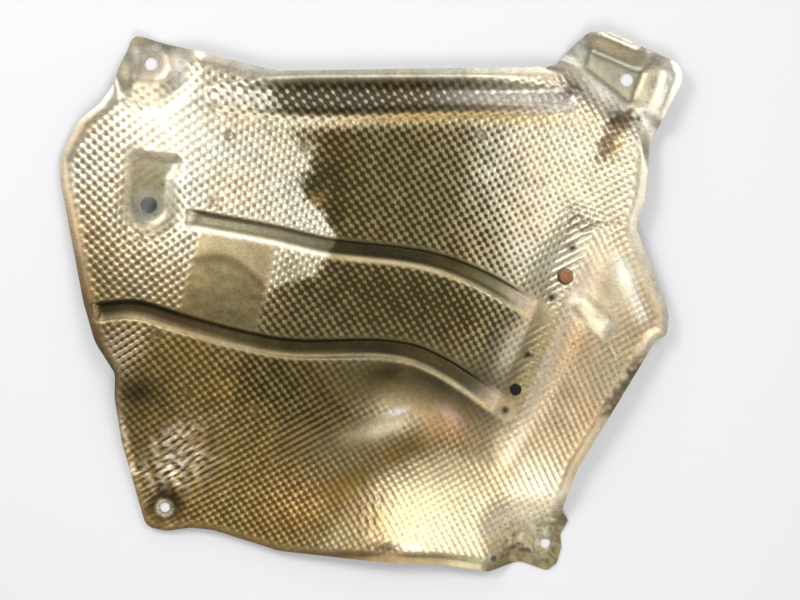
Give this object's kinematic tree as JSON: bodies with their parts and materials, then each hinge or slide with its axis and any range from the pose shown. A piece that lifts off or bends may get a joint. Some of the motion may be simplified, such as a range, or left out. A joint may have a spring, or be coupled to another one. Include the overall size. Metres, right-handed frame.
{
  "type": "exhaust heat shield",
  "caption": "Stamped sheet of embossed aluminium with pressed beads, a recessed edge channel and pierced corner seats, fixed over an exhaust to keep its heat off the body",
  "frame": {"origin": "Middle of the bounding box in plan, at the level of the four corner seats that the sheet lies on", "axes": "+X along the longest way from the wide end to the wing, +Y towards the straight channelled edge, +Z out of the crowned face, away from the seats"},
  "size_m": [0.3902, 0.3379, 0.0395],
  "materials": {
    "sheet_aluminium": "embossed, heat-stained and sooted",
    "rivet_steel": "rusted"
  },
  "bodies": {
    "root": {"shield_panel": "sheet_aluminium", "rivet": "rivet_steel"}
  },
  "joints": []
}
